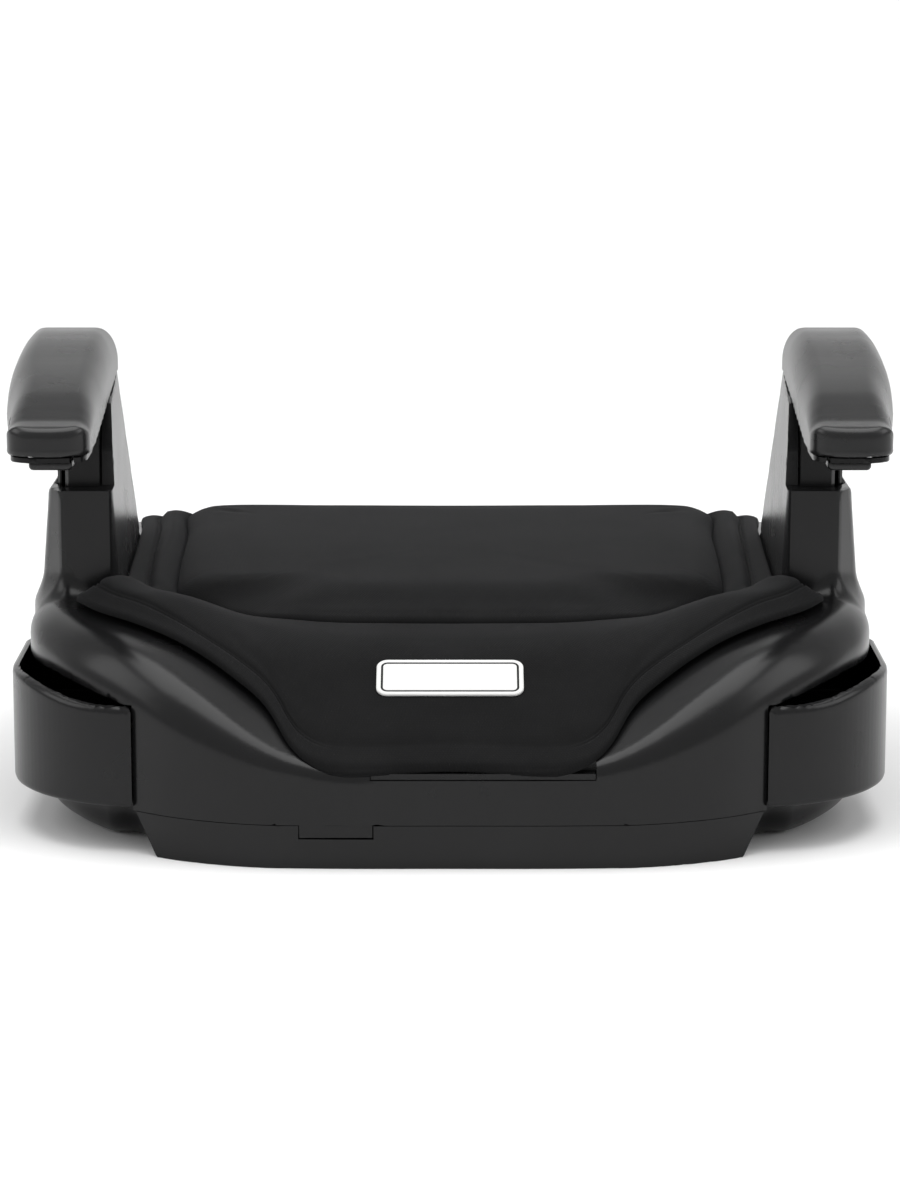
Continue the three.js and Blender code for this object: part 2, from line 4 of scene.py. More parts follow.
import bpy
import numpy as np
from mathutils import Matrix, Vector


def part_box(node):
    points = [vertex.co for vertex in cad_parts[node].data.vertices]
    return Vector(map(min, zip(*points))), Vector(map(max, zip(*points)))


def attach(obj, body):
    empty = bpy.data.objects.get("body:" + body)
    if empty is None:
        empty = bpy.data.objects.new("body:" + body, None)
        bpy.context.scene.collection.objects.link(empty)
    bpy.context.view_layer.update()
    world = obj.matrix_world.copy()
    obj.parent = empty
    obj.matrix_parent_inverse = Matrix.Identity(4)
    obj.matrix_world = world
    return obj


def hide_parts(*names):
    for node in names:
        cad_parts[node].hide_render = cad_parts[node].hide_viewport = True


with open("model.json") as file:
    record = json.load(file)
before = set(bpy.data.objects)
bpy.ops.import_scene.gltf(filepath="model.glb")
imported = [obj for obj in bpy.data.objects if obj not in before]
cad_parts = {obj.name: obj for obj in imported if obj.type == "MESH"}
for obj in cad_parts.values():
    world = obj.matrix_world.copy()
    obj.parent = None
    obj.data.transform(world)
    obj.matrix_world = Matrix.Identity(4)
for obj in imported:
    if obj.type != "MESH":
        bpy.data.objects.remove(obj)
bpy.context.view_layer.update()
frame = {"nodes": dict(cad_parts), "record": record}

MM = 0.001
SIDES = {"left": -1, "right": 1}

# Driving sizes, as in the CAD, apart from two walls that are thicker where only the inside shows it
WALL = 3.0
BASE_WALL = 5.5
TOWER_WALL = 5.0
PARTING_Z = 19.3  # seam between the upper shell and the lower tray
SEAM_GAP = 0.5
SEAT_Z = 78.5
SHELF_Z = 147.0
TOWER_FRONT_Y = -78.0
NECK_REAR_Y = -29.0
CUP_FLOOR_Z = 21.0
CUP_RIM_Z = 73.0
CUP_CORNER = (-133.0, -108.0, 67.5)  # x, y and radius
CUP_REAR_Y = -45.0
CUP_INNER = (-72.0, -164.0)
CUP_WALL = 3.5
HEM_WIDTH = 12.5
HEM_FRONT_Z = 43.8  # top of the hem where it tucks in above the front slot
HEM_OFF_SHELL = 2.6  # how far the wings' hem stands off the shoulders
WING_FULLNESS = 5.6  # extra padding at the wings' tips

# How far the simulated fabric may move from the modelled form, and the pressures that blow it up
PUFF_CAP = 1.0
PAD_PRESSURE = 12.0
PANEL_PRESSURE = 25.0

CAMERA_PLACE = (0, -1.73447, 0.43258)
CAMERA_TILT_DOWN = 11.5
CAMERA_LENS = 108.75

HALF_OUTLINE = [
    (0, -200), (-55, -199.8), (-87, -197.6), (-119, -187), (-141, -173), (-157, -159.5),
    (-171, -144), (-182, -126), (-190, -108), (-195, -86), (-197, -50), (-197, 20),
    (-196, 90), (-191, 140), (-178, 172), (-152, 190), (-110, 198.5), (-55, 199.8), (0, 200),
]
# The pad's edge and the seam of its raised panel, point for point
HALF_PAD = [
    (0, -198), (-58, -198), (-69, -191), (-82, -171), (-98, -160), (-118, -149),
    (-140, -136), (-161, -117), (-172, -97), (-171, -84), (-160, -80), (-154.2, -68),
    (-155.2, -20), (-157.6, 60), (-160.5, 128), (-162.5, 158), (-149, 182), (-80, 191.5), (0, 192),
]
HALF_PANEL = [
    (0, -83), (-30, -82.5), (-56, -81), (-67, -79.4), (-78, -77), (-87, -72),
    (-95, -65), (-104, -57.5), (-112, -50), (-118, -45.5), (-123, -41.5), (-128, -32),
    (-131.5, -17), (-134.5, 40), (-136.4, 123), (-139, 168), (-133, 183), (-70, 187), (0, 187),
]
SHELL_PROFILE = [
    (-200, 42.5), (-160, 60.5), (-137, 72), (-110, 79), (-83, 80), (-60, SEAT_Z), (180, SEAT_Z), (200, 75),
]
RAIL_PROFILE = [
    (-200, 72), (-187, 78), (-173, 84), (-150, 91), (-120, 95), (-85, 97), (-50, 95),
    (100, 92), (150, 90), (185, 86), (200, 82),
]


def clamp(value, low=0.0, high=1.0):
    return np.minimum(np.maximum(value, low), high)


def smoothstep(value, start, end):
    share = clamp((value - start) / (end - start))
    return share * share * (3 - 2 * share)


def blend_of(low, high, share):
    return low + (high - low) * share


def along(profile, at):
    """The value at a place on a smooth curve through a profile's points, which never overshoots them."""
    places, values = np.array(profile, float).T
    steps = np.diff(places)
    slopes = np.diff(values) / steps
    tangents = np.concatenate([slopes[:1], np.zeros(len(slopes) - 1), slopes[-1:]])
    same_way = slopes[:-1] * slopes[1:] > 0
    both = np.where(same_way, slopes[:-1] + slopes[1:], 1)
    tangents[1:-1] = np.where(same_way, 2 * slopes[:-1] * slopes[1:] / both, 0)
    at = clamp(at, places[0], places[-1])
    i = clamp(np.searchsorted(places, at, side="right") - 1, 0, len(steps) - 1).astype(int)
    t = (at - places[i]) / steps[i]
    rise = t * t * (3 - 2 * t)
    bow = steps[i] * t * (1 - t) * (tangents[i] * (1 - t) - tangents[i + 1] * t)
    return blend_of(values[i], values[i + 1], rise) + bow


def closed_curve(half, per_span):
    """Points of a closed centripetal Catmull-Rom curve through a half outline and its mirror image."""
    left = [np.array(p, float) for p in half]
    right = [p * (-1, 1) for p in left[-2:0:-1]]
    keys = left + right
    count = len(keys)
    points = []
    for i in range(count):
        p0, p1, p2, p3 = (keys[(i + k) % count] for k in (-1, 0, 1, 2))
        d0, d1, d2 = (math.sqrt(np.linalg.norm(b - a)) for a, b in ((p0, p1), (p1, p2), (p2, p3)))
        m1 = ((p1 - p0) / d0 - (p2 - p0) / (d0 + d1) + (p2 - p1) / d1) * d1
        m2 = ((p2 - p1) / d1 - (p3 - p1) / (d1 + d2) + (p3 - p2) / d2) * d1
        for t in np.arange(per_span) / per_span:
            points.append(
                (2 * t**3 - 3 * t**2 + 1) * p1 + (t**3 - 2 * t**2 + t) * m1
                + (3 * t**2 - 2 * t**3) * p2 + (t**3 - t**2) * m2
            )
    return np.array(points)


# The base outline as a radius at each bearing
OUTLINE = closed_curve(HALF_OUTLINE, 60)
BEARINGS = np.arctan2(OUTLINE[:, 1], OUTLINE[:, 0])
ORDER = np.argsort(BEARINGS)
BEARINGS = BEARINGS[ORDER]
RADII = np.linalg.norm(OUTLINE, axis=1)[ORDER]
TILTS = np.gradient(np.concatenate([RADII[-9:], RADII, RADII[:9]]))[9:-9] / np.gradient(
    np.unwrap(np.concatenate([BEARINGS[-9:] - 2 * math.pi, BEARINGS, BEARINGS[:9] + 2 * math.pi]))
)[9:-9]


def outline_distance(x, y):
    """Signed distance from the base outline, inside negative."""
    bearing = np.arctan2(y, x)
    radius = np.interp(bearing, BEARINGS, RADII, period=2 * math.pi)
    tilt = np.interp(bearing, BEARINGS, TILTS, period=2 * math.pi)
    return (np.hypot(x, y) - radius) * radius / np.hypot(radius, tilt)


def polygon_distance(u, v, corners):
    """Signed distance from a polygon, inside negative."""
    nearest = np.full(u.shape, 1e18)
    inside = np.zeros(u.shape, bool)
    for (u0, v0), (u1, v1) in zip(corners, corners[1:] + corners[:1]):
        eu, ev = u1 - u0, v1 - v0
        share = clamp(((u - u0) * eu + (v - v0) * ev) / (eu * eu + ev * ev))
        nearest = np.minimum(nearest, (u - u0 - share * eu) ** 2 + (v - v0 - share * ev) ** 2)
        if v0 != v1:
            inside ^= ((v0 > v) != (v1 > v)) & (u < u0 + (v - v0) * eu / ev)
    return np.where(inside, -1, 1) * np.sqrt(nearest)


def both_rounded(a, b, radius):
    """What lies in both of two solids, the edge between them rounded."""
    return np.minimum(np.maximum(a + radius, b + radius), 0) + np.hypot(
        np.maximum(a + radius, 0), np.maximum(b + radius, 0)
    ) - radius


def either_filleted(a, b, radius):
    """Two solids together, with a fillet in the corner between them."""
    return -both_rounded(-a, -b, radius)


def box_distance(x, y, z, low, high, radius=0.0):
    """Signed distance from a box with rounded edges."""
    outside = [
        np.abs(p - (a + b) / 2) - (b - a) / 2 + radius for p, a, b in zip((x, y, z), low, high)
    ]
    far = np.sqrt(sum(np.maximum(d, 0) ** 2 for d in outside))
    return far + np.minimum(np.maximum.reduce(outside), 0) - radius


def seam_z(y):
    """The line where an armrest cover meets its tower."""
    return 171.8 + (y + 134) * (192.5 - 171.8) / (2.7 + 134)


def shell_top(x, y):
    """Height of the shell's top surface, which rises from the seat to its two shoulders."""
    side = np.abs(x)
    front = smoothstep(side, 44, 150)
    flank = smoothstep(side, 125, 160)
    rise = blend_of(front, flank, smoothstep(y, -120, -60))
    return blend_of(along(SHELL_PROFILE, y), along(RAIL_PROFILE, y), rise)


# ---------------------------------------------------------------- meshes


def axis_steps(*spans):
    """Grid places from spans of (start, end, step)."""
    parts = [np.linspace(a, b, max(2, round((b - a) / step) + 1)) for a, b, step in spans]
    return np.concatenate([parts[0]] + [part[1:] for part in parts[1:]])


def surface_normals(sdf, points, reach=0.15):
    """Unit normals of a signed distance at points."""
    slopes = []
    for axis in range(3):
        step = np.zeros(3)
        step[axis] = reach
        slopes.append(sdf(*(points + step).T) - sdf(*(points - step).T))
    normals = np.stack(slopes, 1)
    return normals / np.maximum(np.linalg.norm(normals, axis=1, keepdims=True), 1e-9)


def contoured(sdf, places):
    """Vertices and quads of the surface where sdf is 0, on a grid, with its creases kept."""
    nodes = np.meshgrid(*places, indexing="ij")
    values = sdf(*[n.ravel() for n in nodes]).reshape(nodes[0].shape)
    cells = np.array(values.shape) - 1
    strides = np.array([cells[1] * cells[2], cells[2], 1])
    owners, hits, quads = [], [], []
    for axis in range(3):
        low = [slice(None)] * 3
        high = [slice(None)] * 3
        low[axis], high[axis] = slice(None, -1), slice(1, None)
        v0, v1 = values[tuple(low)], values[tuple(high)]
        at = np.argwhere((v0 < 0) != (v1 < 0))
        others = [(axis + 1) % 3, (axis + 2) % 3]
        at = at[(at[:, others] > 0).all(1) & (at[:, others] < cells[others]).all(1)]
        f0, f1 = v0[tuple(at.T)], v1[tuple(at.T)]
        p0 = np.stack([places[k][at[:, k]] for k in range(3)], 1)
        p1 = p0.copy()
        p1[:, axis] = places[axis][at[:, axis] + 1]
        a, b, fa, fb = p0[:, axis].copy(), p1[:, axis].copy(), f0.copy(), f1.copy()
        for _ in range(4):
            middle = a + (b - a) * clamp(fa / (fa - fb), 0.02, 0.98)
            trial = p0.copy()
            trial[:, axis] = middle
            fm = sdf(*trial.T)
            same = (fm < 0) == (fa < 0)
            a, fa = np.where(same, middle, a), np.where(same, fm, fa)
            b, fb = np.where(same, b, middle), np.where(same, fb, fm)
        p0[:, axis] = a + (b - a) * clamp(fa / np.where(fa == fb, 1, fa - fb))
        steps = np.zeros((4, 3), int)
        steps[[1, 2], others[0]] = -1
        steps[[2, 3], others[1]] = -1
        around = np.stack([(at + s) @ strides for s in steps], 1)
        owners.append(around)
        hits.append(p0)
        quads.append(np.where((f0 < 0)[:, None], around, around[:, ::-1]))
    hits = np.concatenate(hits)
    normals = surface_normals(sdf, hits)
    ids, index = np.unique(np.concatenate(owners), return_inverse=True)
    index = index.reshape(-1)
    count = len(ids)
    points = np.repeat(hits, 4, 0)
    normals = np.repeat(normals, 4, 0)
    hit_count = np.bincount(index, minlength=count)
    middle = np.stack([np.bincount(index, points[:, k], count) for k in range(3)], 1) / hit_count[:, None]
    offset = ((points - middle[index]) * normals).sum(1)
    square = np.empty((count, 3, 3))
    for i in range(3):
        for j in range(3):
            square[:, i, j] = np.bincount(index, normals[:, i] * normals[:, j], count)
    pull = np.stack([np.bincount(index, normals[:, k] * offset, count) for k in range(3)], 1)
    weights, frames = np.linalg.eigh(square)
    strong = weights > 0.12 * weights[:, 2:]
    moved = np.einsum("nji,nj->ni", frames, pull) * np.where(strong, 1 / np.maximum(weights, 1e-9), 0)
    verts = middle + np.einsum("nij,nj->ni", frames, moved)
    cell = np.stack(np.unravel_index(ids, tuple(cells)), 1)
    for k in range(3):
        start, end = places[k][cell[:, k]], places[k][cell[:, k] + 1]
        spare = 0.1 * (end - start)
        verts[:, k] = clamp(verts[:, k], start - spare, end + spare)
    lookup = np.searchsorted(ids, np.concatenate(quads))
    return verts, lookup


def mesh_piece(name, verts, faces, body, slot, finish, replaces=(), crease=35.0):
    """A mesh in millimetres as a named piece that rides on a body."""
    mesh = bpy.data.meshes.new(name)
    if isinstance(faces, np.ndarray):
        faces = faces.tolist()
    mesh.from_pydata((np.asarray(verts) * MM).tolist(), [], faces)
    mesh.validate()
    mesh.polygons.foreach_set("use_smooth", np.ones(len(mesh.polygons), bool))
    if crease:
        mesh.set_sharp_from_angle(angle=math.radians(crease))
    mesh.update()
    piece = bpy.data.objects.new(name, mesh)
    bpy.context.scene.collection.objects.link(piece)
    piece.data.materials.append(finish)
    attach(piece, body)
    if replaces:
        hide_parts(*replaces)
    return piece


def ring_faces(rings, count, start_cap=False, end_cap=False):
    """Quads between closed rings of count points, with a fan to one more point at either end."""
    faces = []
    for r in range(rings - 1):
        for i in range(count):
            j = (i + 1) % count
            faces.append([r * count + i, r * count + j, (r + 1) * count + j, (r + 1) * count + i])
    if start_cap:
        faces += [[rings * count, (i + 1) % count, i] for i in range(count)]
    if end_cap:
        last = (rings - 1) * count
        apex = rings * count + int(start_cap)
        faces += [[apex, last + i, last + (i + 1) % count] for i in range(count)]
    return faces


def mirrored(verts, faces, side):
    """The left piece as it is, or its mirror image for the right."""
    if side < 0:
        return verts, faces
    flipped = [list(f)[::-1] for f in faces]
    return np.asarray(verts) * (-1, 1, 1), flipped


# ---------------------------------------------------------------- materials


def new_material(name, **sockets):
    material = bpy.data.materials.new(name)
    material.use_nodes = True
    shader = material.node_tree.nodes["Principled BSDF"]
    for socket, value in sockets.items():
        shader.inputs[socket.replace("_", " ")].default_value = value
    return material, material.node_tree, shader


def node(tree, kind, **settings):
    made = tree.nodes.new(kind)
    for key, value in settings.items():
        if key in made.inputs:
            made.inputs[key].default_value = value
        else:
            setattr(made, key, value)
    return made


def noise(tree, scale, detail=3.0, roughness=0.55):
    """Noise in object coordinates, its scale per metre."""
    place = node(tree, "ShaderNodeTexCoord")
    made = node(tree, "ShaderNodeTexNoise", Scale=scale, Detail=detail, Roughness=roughness)
    tree.links.new(place.outputs["Object"], made.inputs["Vector"])
    return made.outputs["Fac"]


def ramp(tree, source, low, high, start=0.3, end=0.7):
    """A colour that goes from low to high as the source goes from start to end."""
    made = node(tree, "ShaderNodeValToRGB")
    made.color_ramp.elements[0].position = start
    made.color_ramp.elements[1].position = end
    made.color_ramp.elements[0].color = (*low, 1)
    made.color_ramp.elements[1].color = (*high, 1)
    tree.links.new(source, made.inputs["Fac"])
    return made.outputs["Color"]


def ranged(tree, source, low, high, start=0.3, end=0.7):
    """A number that goes from low to high as the source goes from start to end."""
    made = node(tree, "ShaderNodeMapRange")
    for socket, value in (("From Min", start), ("From Max", end), ("To Min", low), ("To Max", high)):
        made.inputs[socket].default_value = value
    tree.links.new(source, made.inputs["Value"])
    return made.outputs["Result"]


def bump(tree, shader, height, strength, distance, under=None):
    made = node(tree, "ShaderNodeBump", Strength=strength, Distance=distance)
    tree.links.new(height, made.inputs["Height"])
    if under is not None:
        tree.links.new(under, made.inputs["Normal"])
    tree.links.new(made.outputs["Normal"], shader.inputs["Normal"])
    return made.outputs["Normal"]


def plastic(name, colour, roughness, grain=0.06, specular=0.5):
    """Moulded plastic: a fine spark-eroded grain, slow changes of gloss, and a little dust-grey mottling."""
    material, tree, shader = new_material(name, Specular_IOR_Level=specular)
    low = tuple(c * 0.9 for c in colour)
    high = tuple(c * 1.1 for c in colour)
    tree.links.new(ramp(tree, noise(tree, 38, 4), low, high), shader.inputs["Base Color"])
    tree.links.new(
        ranged(tree, noise(tree, 24, 3), roughness - 0.02, roughness + 0.02), shader.inputs["Roughness"]
    )
    bump(tree, shader, noise(tree, 1500, 2), grain, 0.0001)
    return material


def thread_weave(tree, pitch):
    """Height of a fine knit: two crossed sets of ribs, a pitch apart in metres."""
    place = node(tree, "ShaderNodeTexCoord")
    ribs = []
    for turn in (0.55, -0.55):
        mapping = node(tree, "ShaderNodeMapping")
        mapping.inputs["Rotation"].default_value = (0.35, 0.25, turn)
        wave = node(tree, "ShaderNodeTexWave", wave_type="BANDS", bands_direction="X", wave_profile="SIN")
        wave.inputs["Scale"].default_value = 0.314 / pitch
        wave.inputs["Distortion"].default_value = 0.6
        wave.inputs["Detail"].default_value = 1.0
        tree.links.new(place.outputs["Object"], mapping.inputs["Vector"])
        tree.links.new(mapping.outputs["Vector"], wave.inputs["Vector"])
        ribs.append(wave.outputs["Fac"])
    both = node(tree, "ShaderNodeMath", operation="MULTIPLY")
    tree.links.new(ribs[0], both.inputs[0])
    tree.links.new(ribs[1], both.inputs[1])
    return both.outputs["Value"]


def fabric(name, colour, pitch=0.0011, weave=0.35, sheen=0.25, mottling=0.22):
    """Knitted polyester: a fine weave, soft fuzz and slow shade changes."""
    material, tree, shader = new_material(
        name, Roughness=0.88, Specular_IOR_Level=0.1, Sheen_Weight=sheen, Sheen_Roughness=0.45
    )
    shader.inputs["Sheen Tint"].default_value = (0.75, 0.76, 0.8, 1)
    low = tuple(c * (1 - mottling) for c in colour)
    high = tuple(c * (1 + mottling) for c in colour)
    tree.links.new(ramp(tree, noise(tree, 26, 5), low, high), shader.inputs["Base Color"])
    height = thread_weave(tree, pitch)
    rough = bump(tree, shader, height, weave, 0.0003)
    bump(tree, shader, noise(tree, 420, 3), 0.12, 0.0003, rough)
    return material


def steel(name):
    material, tree, shader = new_material(name, Metallic=1.0)
    colour = ramp(tree, noise(tree, 300, 4), (0.42, 0.42, 0.43), (0.62, 0.62, 0.62))
    tree.links.new(colour, shader.inputs["Base Color"])
    tree.links.new(ranged(tree, noise(tree, 700, 3), 0.24, 0.42), shader.inputs["Roughness"])
    bump(tree, shader, noise(tree, 1800, 2), 0.08, 0.0001)
    return material


FINISHES = {
    "shell_plastic": plastic("shell_plastic", (0.0062, 0.0062, 0.0065), 0.26, specular=0.26),
    "arm_plastic": plastic("arm_plastic", (0.007, 0.007, 0.0073), 0.27, specular=0.36),
    # A darker, less shiny copy of the black plastic for the armrest frames and legs: painted shade for the
    # shadow under the covers
    "inner_plastic": plastic("inner_plastic", (0.004, 0.004, 0.0042), 0.27, specular=0.2),
    "seat_fabric": fabric("seat_fabric", (0.0062, 0.0062, 0.0064), sheen=0.03),
    "steel": steel("steel"),
}
LABEL_WHITE = fabric("label_white", (0.72, 0.72, 0.71), pitch=0.0007, weave=0.2, sheen=0.05, mottling=0.03)
LABEL_BORDER = fabric("label_border", (0.02, 0.02, 0.02), pitch=0.0007, weave=0.25, sheen=0.1)

for subpart in frame["record"]["subparts"]:
    cad = frame["nodes"][subpart["node"]]
    cad.data.materials.clear()
    cad.data.materials.append(FINISHES.get(subpart["material_slot"], LABEL_WHITE))

# ---------------------------------------------------------------- upper shell and towers

TOWER_SIDE = [
    (TOWER_FRONT_Y, 70), (TOWER_FRONT_Y, SHELF_Z), (-5, SHELF_Z), (-5, 153), (-14, 165.5),
    (NECK_REAR_Y, 174.4), (NECK_REAR_Y, seam_z(NECK_REAR_Y) - SEAM_GAP),
    (2.7, seam_z(2.7) - SEAM_GAP), (99.4, 100.9), (112, 70),
]
NECK_WALL_SIDE = [(-61, 140), (-58, 165), (-50, seam_z(-50) - SEAM_GAP), (0, seam_z(0) - SEAM_GAP), (0, 140)]
LEG_ROOM = [(-163.8, -66.7), (-178.7, -66.7), (-184.7, -57.7), (-184.7, -29.3), (-163.8, -29.3)]
CUP_ROOM = [
    (-190, -5), (-190, 66.6), (-170, 67.1), (-150, 71.6), (-135, CUP_RIM_Z + 0.6),
    (CUP_REAR_Y + 0.6, CUP_RIM_Z + 0.6), (CUP_REAR_Y + 0.6, -5),
]


def edge_rounding(x, y):
    """Rounding of the shell's top edge: tight at the front middle, soft at the corners and sides."""
    side = smoothstep(np.abs(x), 55, 135)
    return blend_of(4.0, blend_of(17.0, 16.0, smoothstep(y, -150, -80)), side)


def base_sdf(x, y, z, inset=0.0):
    side = outline_distance(x, y) + inset
    return both_rounded(side, z - shell_top(x, y) + inset, edge_rounding(x, y))


def tower_sdf(x, y, z, inset=0.0):
    """The left tower with its fin: planes that lean in, a front facet, and rounded edges."""
    side = polygon_distance(y, z, TOWER_SIDE)
    wall = np.maximum(polygon_distance(y, z, NECK_WALL_SIDE), -163.0 - x)
    outer = (-193 + (z - 88) * 7 / 72 - x) * 0.995
    inner = x + 155 + 0.03 * (y + 68) + 0.04 * (z - 100)
    band = (x + 157.8) * 0.95 - (y + 78) * 0.313
    facet = -(x + 200) * 0.855 - (y + 46) * 0.518
    body = both_rounded(side + inset, outer + inset, 2.4)
    body = both_rounded(body, facet + inset, 1.6)
    body = np.minimum(body, wall + inset)
    body = both_rounded(body, band + inset, 0.7)
    return both_rounded(body, inner + inset, 0.8)


def shell_sdf(x, y, z):
    left = -np.abs(x)
    outer_fillet = blend_of(0.6, blend_of(2.5, 13.0, smoothstep(-left, 163, 180)), smoothstep(z, 78, 93))
    outside = either_filleted(base_sdf(left, y, z), tower_sdf(left, y, z), outer_fillet)
    hollow = np.minimum(base_sdf(left, y, z, BASE_WALL), tower_sdf(left, y, z, TOWER_WALL))
    body = np.maximum(outside, PARTING_Z + SEAM_GAP / 2 - z)
    body = np.maximum(body, -hollow)
    leg = np.maximum(polygon_distance(left, y, LEG_ROOM), 130 - z)
    body = both_rounded(body, -leg, 0.5)
    cup = np.maximum(polygon_distance(y, z, CUP_ROOM), left + 141)
    body = both_rounded(body, -cup, 0.8)
    hem_slot = box_distance(x, y, z, (-35, -202, 39.7), (64, -192, 50))
    tab = box_distance(x, y, z, (-66, -199.6, 13.8), (-34, -196.6, 24), 0.4)
    return np.minimum(np.maximum(body, -hem_slot), tab)


def build_upper_shell():
    # A grid finer at the sides and the front, and coarse enough in all for fewer than 200,000 faces
    outer_x = [(-199.5, -136, 1.8), (-136, 0, 3.8)]
    xs = axis_steps(*outer_x, *[(-b, -a, step) for a, b, step in outer_x[::-1]])
    ys = axis_steps((-202.5, -140, 1.8), (-140, -30, 2.2), (-30, 112, 2.6), (112, 202.5, 3.8))
    zs = axis_steps((12.0, 101, 1.9), (101, 196, 2.2))
    verts, faces = contoured(shell_sdf, (xs, ys, zs))
    return mesh_piece(
        "upper_shell_moulding", verts, faces, "base", "shell_plastic", FINISHES["shell_plastic"],
        ["upper_shell"], 32,
    )


# ---------------------------------------------------------------- lower tray

SCREW_PLACES = [(-55, -165), (55, -165), (-140, 30), (140, 30), (-105, 165), (105, 165)]


def tray_sdf(x, y, z):
    edge = outline_distance(x, y)
    side = smoothstep(np.abs(x), 110, 150)
    behind_panel = smoothstep(np.abs(x), 119, 125) * (1 - smoothstep(np.abs(x), 138, 154)) * (y < 0)
    rim, radius = blend_of(3.0, 5.0, side) + 9.0 * behind_panel, blend_of(4.0, 18.0, side)
    boat = both_rounded(edge + rim, -z, radius)
    hollow = both_rounded(edge + rim + BASE_WALL, WALL - z, radius)
    panel = np.maximum(np.maximum(edge, -edge - 4.5), np.abs(x) * 0.897 - 0.442 * z - 116.7)
    panel = both_rounded(np.maximum(panel, y + 150), -z, 0.6)
    body = np.minimum(np.maximum(boat, -hollow), panel)
    body = np.maximum(body, z - PARTING_Z)
    notch = box_distance(x, y, z, (-66.5, -203, 13.3), (-33.5, -193, 30))
    body = np.maximum(body, -notch)
    for place_x, place_y in SCREW_PLACES:
        reach = np.hypot(x - place_x, y - place_y)
        boss = np.maximum(np.maximum(reach - 7, z - 12), 0.5 - z)
        body = np.minimum(body, boss)
        body = np.maximum(body, 2.6 - reach)
        body = np.maximum(body, -np.maximum(reach - 4.7, z - 5.4))
    return body


def build_lower_tray():
    outer_x = [(-199, -120, 1.7), (-120, 0, 2.8)]
    xs = axis_steps(*outer_x, *[(-b, -a, step) for a, b, step in outer_x[::-1]])
    ys = axis_steps((-202, -150, 1.5), (-150, 201, 2.9))
    zs = axis_steps((-1.2, 21, 1.15))
    verts, faces = contoured(tray_sdf, (xs, ys, zs))
    verts[:, 2] = np.maximum(verts[:, 2], 0)
    return mesh_piece(
        "lower_tray_moulding", verts, faces, "base", "shell_plastic", FINISHES["shell_plastic"],
        ["lower_tray"], 32,
    )


# ---------------------------------------------------------------- cup holders


def cup_outline(segments=28):
    x, y, radius = CUP_CORNER
    turns = np.radians(np.linspace(263, 180, segments))
    arc = [(x + radius * math.cos(t), y + radius * math.sin(t)) for t in turns]
    outer = x - radius
    return [
        (CUP_INNER[0], CUP_INNER[1]), (arc[0][0], CUP_INNER[1]), *arc,
        (outer, CUP_REAR_Y - 14), (outer + 4.5, CUP_REAR_Y - 4.5), (outer + 14, CUP_REAR_Y),
        (CUP_INNER[0], CUP_REAR_Y),
    ]


CUP_OUTLINE = cup_outline()
CUP_TOP_PROFILE = [(-190, 66), (-170, 66.5), (-150, 71), (-135, CUP_RIM_Z), (-20, CUP_RIM_Z)]
WELL_X, WELL_Y0, WELL_Y1, WELL_WALL = -112.0, -148.0, -68.0, 2.5


def cup_sdf(x, y, z):
    edge = polygon_distance(x, y, CUP_OUTLINE)
    rim = blend_of(along(CUP_TOP_PROFILE, y), 50.0, smoothstep(x, -140, -131))
    body = both_rounded(edge, z - rim, 2.6)
    body = both_rounded(body, CUP_FLOOR_Z - z, 2.2)
    inside = both_rounded(edge + CUP_WALL, CUP_FLOOR_Z + WALL - z, 3.0)
    body = both_rounded(body, -inside, 0.8)
    frame_out = box_distance(
        x, y, z, (-230, WELL_Y0 - WELL_WALL, 0), (WELL_X + WELL_WALL, WELL_Y1 + WELL_WALL, 50), 1
    )
    frame_in = box_distance(x, y, z, (-230, WELL_Y0, -10), (WELL_X, WELL_Y1, 80), 8)
    well = np.maximum(np.maximum(frame_out, -frame_in), np.maximum(edge + 1, CUP_FLOOR_Z + 1 - z))
    keels = [
        box_distance(x, y, z, (-98, keel_y - 1.6, 15.6), (-80, keel_y + 1.6, 23), 0.4)
        for keel_y in (-100, -60)
    ]
    return np.minimum.reduce([body, well, *keels])


def build_cup_holders():
    xs = axis_steps((-202.5, -128, 1.5), (-128, -70, 2.2))
    ys = axis_steps((-177.5, -43, 1.6))
    zs = axis_steps((14.4, 26, 1.2), (26, 75.5, 1.5))
    verts, faces = contoured(cup_sdf, (xs, ys, zs))
    for side, sign in SIDES.items():
        shape = mirrored(verts, faces, sign)
        mesh_piece(
            f"cup_holder_moulding_{side}", *shape, f"cup_drawer_{side}", "shell_plastic",
            FINISHES["shell_plastic"], [f"cup_holder_{side}"], 32,
        )


# ---------------------------------------------------------------- armrests

ARM_TIP_X, ARM_REAR_X, ARM_INNER_X = -197.6, -206.6, -160.3
ARM_TIP_Y, ARM_REAR_Y = -150.0, 3.2
ARM_WALL = 2.6
ARM_TOP_PROFILE = [
    (-150, 186.0), (-145, 187.8), (-141, 188.2), (-137, 188.7), (-131, 190.8), (-122, 194.4),
    (-110, 198.5), (-70, 207.5), (-35, 213.4), (-18, 214.6), (4, 214.6),
]
NECK = [(-163.6, -66), (-178, -66), (-184, -57), (-184, -30), (-163.6, -30)]
LEG_HOLLOW = [(-167, -63.4), (-181.4, -63.4), (-181.4, -32.6), (-167, -32.6)]


def arm_outer_x(y):
    return blend_of(ARM_TIP_X, ARM_REAR_X, smoothstep(y, -140.0, -50.0))


def arm_tip_outline():
    """Plan of the cover's tip, a blunt round end on straight sides."""
    middle, half = (ARM_TIP_X + ARM_INNER_X) / 2, (ARM_INNER_X - ARM_TIP_X) / 2
    points = [(ARM_INNER_X, 60.0)]
    for turn in np.radians(np.linspace(0, 180, 33)):
        c, s = math.cos(turn), math.sin(turn)
        points.append((middle + half * math.copysign(abs(c) ** 0.7, c), ARM_TIP_Y + 15 - 15 * s**0.8))
    return points + [(ARM_TIP_X, -118.0), (-230.0, -117.0), (-230.0, 60.0)]


ARM_TIP = arm_tip_outline()


